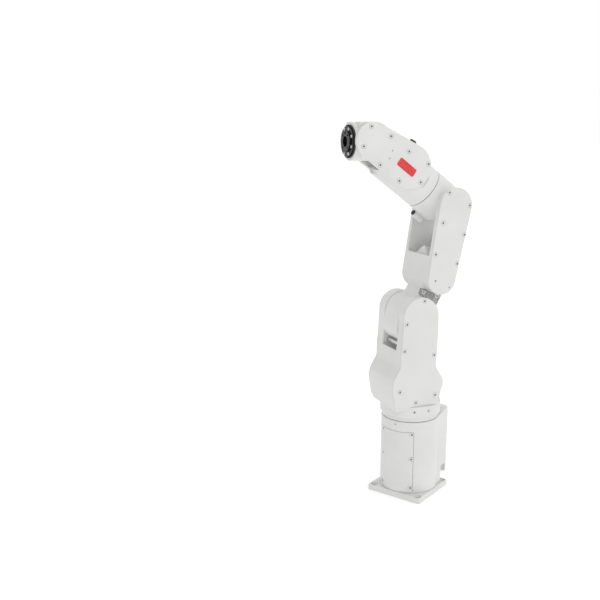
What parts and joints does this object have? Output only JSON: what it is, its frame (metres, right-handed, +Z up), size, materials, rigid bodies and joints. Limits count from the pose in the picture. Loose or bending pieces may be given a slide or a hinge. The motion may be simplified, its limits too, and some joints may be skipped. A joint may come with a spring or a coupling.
{
  "type": "robot arm",
  "caption": "Small floor- or bench-mounted articulated robot arm: square plate, round column, shoulder fork, lower arm, elbow, forearm, bending wrist and round tool flange.",
  "frame": {"origin": "centre of the square mounting plate's underside, on the vertical turning axis", "axes": "+Z up along the vertical turning axis, +X out of the front cover, away from the rear connectors"},
  "size_m": [0.2546, 0.2056, 0.7525],
  "materials": {
    "white_paint": "satin",
    "screw_steel": "satin",
    "bearing_steel": "polished",
    "motor_aluminium": "matte",
    "rotor_steel": "satin",
    "output_steel": "satin",
    "flange_metal": "satin anodised",
    "bare_casting": "matte",
    "black_plastic": "matte",
    "fitting_brass": "satin",
    "seal_rubber": "matte",
    "red_badge": "gloss"
  },
  "bodies": {
    "base": {"base_plate": "white_paint", "base_housing": "white_paint", "base_front_cover": "white_paint", "base_cover_screws": "screw_steel", "rear_connector_plate": "white_paint", "rear_lower_cover": "white_paint", "rear_plate_screws": "screw_steel", "power_connector": "black_plastic", "signal_connector": "black_plastic", "air_couplings": "fitting_brass", "j1_bearing_ring": "bearing_steel", "j1_drive_stator": "motor_aluminium"},
    "swing": {"swing_housing": "white_paint", "swing_cover_right": "white_paint", "swing_cover_left": "white_paint", "swing_cover_screws": "screw_steel", "fork_tie_pin": "screw_steel", "j2_support_bearing": "bearing_steel", "j2_bearing_ring": "bearing_steel", "j2_drive_stator": "motor_aluminium", "j1_output_flange": "output_steel"},
    "lower_arm": {"lower_arm_frame": "white_paint", "lower_cover_right": "white_paint", "lower_cover_left": "white_paint", "lower_cover_screws": "screw_steel", "neck_clamp": "bare_casting", "neck_screws": "screw_steel", "j2_output_flange": "output_steel", "j3_output_flange": "output_steel"},
    "elbow": {"elbow_housing": "white_paint", "elbow_port_plug": "black_plastic", "j3_bearing_ring": "bearing_steel", "j3_drive_stator": "motor_aluminium", "j4_bearing_ring": "bearing_steel", "j4_drive_stator": "motor_aluminium"},
    "forearm": {"forearm_housing": "white_paint", "forearm_cover_right": "white_paint", "forearm_cover_left": "white_paint", "forearm_cover_screws": "screw_steel", "forearm_badges": "red_badge", "forearm_signal_connector": "black_plastic", "forearm_air_fittings": "fitting_brass", "j4_output_flange": "output_steel", "j5_output_flange": "output_steel"},
    "wrist": {"wrist_housing": "white_paint", "j5_bearing_ring": "bearing_steel", "j5_drive_stator": "motor_aluminium", "j6_seal_ring": "seal_rubber", "j6_bearing_ring": "bearing_steel", "j6_drive_stator": "motor_aluminium"},
    "tool": {"tool_flange": "flange_metal", "flange_screws": "screw_steel"},
    "motor_1": {"j1_rotor": "rotor_steel"},
    "motor_2": {"j2_rotor": "rotor_steel"},
    "motor_3": {"j3_rotor": "rotor_steel"},
    "motor_4": {"j4_rotor": "rotor_steel"},
    "motor_5": {"j5_rotor": "rotor_steel"},
    "motor_6": {"j6_rotor": "rotor_steel"}
  },
  "joints": [
    {"name": "j1_turn", "type": "hinge", "parent": "base", "child": "swing", "pos_m": [0, 0, 0.163], "axis": [0, 0, 1], "range_deg": [-165, 165]},
    {"name": "j2_shoulder", "type": "hinge", "parent": "swing", "child": "lower_arm", "pos_m": [0.00848, -0.0053, 0.38], "axis": [0.5299, 0.848, 0], "range_deg": [-85, 105]},
    {"name": "j3_elbow", "type": "hinge", "parent": "lower_arm", "child": "elbow", "pos_m": [-0.04906, 0.03065, 0.59453], "axis": [-0.5299, -0.848, 0], "range_deg": [-66, 175]},
    {"name": "j4_roll", "type": "hinge", "parent": "elbow", "child": "forearm", "pos_m": [-0.04906, 0.03065, 0.59453], "axis": [0.6817, -0.426, 0.5948], "range_deg": [-160, 160]},
    {"name": "j5_bend", "type": "hinge", "parent": "forearm", "child": "wrist", "pos_m": [0.09069, -0.05667, 0.71647], "axis": [0.5299, 0.848, 0], "range_deg": [-150, 83]},
    {"name": "j6_spin", "type": "hinge", "parent": "wrist", "child": "tool", "pos_m": [0.09069, -0.05667, 0.71647], "axis": [0.848, -0.5299, 0], "range_deg": [-242, 242]},
    {"name": "motor_1_spin", "type": "hinge", "parent": "base", "child": "motor_1", "pos_m": [0, 0, 0.163], "axis": [0, 0, 1], "continuous": true},
    {"name": "motor_2_spin", "type": "hinge", "parent": "swing", "child": "motor_2", "pos_m": [0.00848, -0.0053, 0.38], "axis": [0.5299, 0.848, 0], "continuous": true},
    {"name": "motor_3_spin", "type": "hinge", "parent": "elbow", "child": "motor_3", "pos_m": [-0.04906, 0.03065, 0.59453], "axis": [-0.5299, -0.848, 0], "continuous": true},
    {"name": "motor_4_spin", "type": "hinge", "parent": "elbow", "child": "motor_4", "pos_m": [-0.04906, 0.03065, 0.59453], "axis": [0.6817, -0.426, 0.5948], "continuous": true},
    {"name": "motor_5_spin", "type": "hinge", "parent": "wrist", "child": "motor_5", "pos_m": [0.09069, -0.05667, 0.71647], "axis": [0.5299, 0.848, 0], "continuous": true},
    {"name": "motor_6_spin", "type": "hinge", "parent": "wrist", "child": "motor_6", "pos_m": [0.09069, -0.05667, 0.71647], "axis": [0.848, -0.5299, 0], "continuous": true}
  ],
  "couplings": [
    {"joint": "motor_1_spin", "follows": "j1_turn", "ratio": -100},
    {"joint": "motor_2_spin", "follows": "j2_shoulder", "ratio": -100},
    {"joint": "motor_3_spin", "follows": "j3_elbow", "ratio": 100},
    {"joint": "motor_4_spin", "follows": "j4_roll", "ratio": -100},
    {"joint": "motor_5_spin", "follows": "j5_bend", "ratio": 100},
    {"joint": "motor_6_spin", "follows": "j6_spin", "ratio": -100}
  ]
}
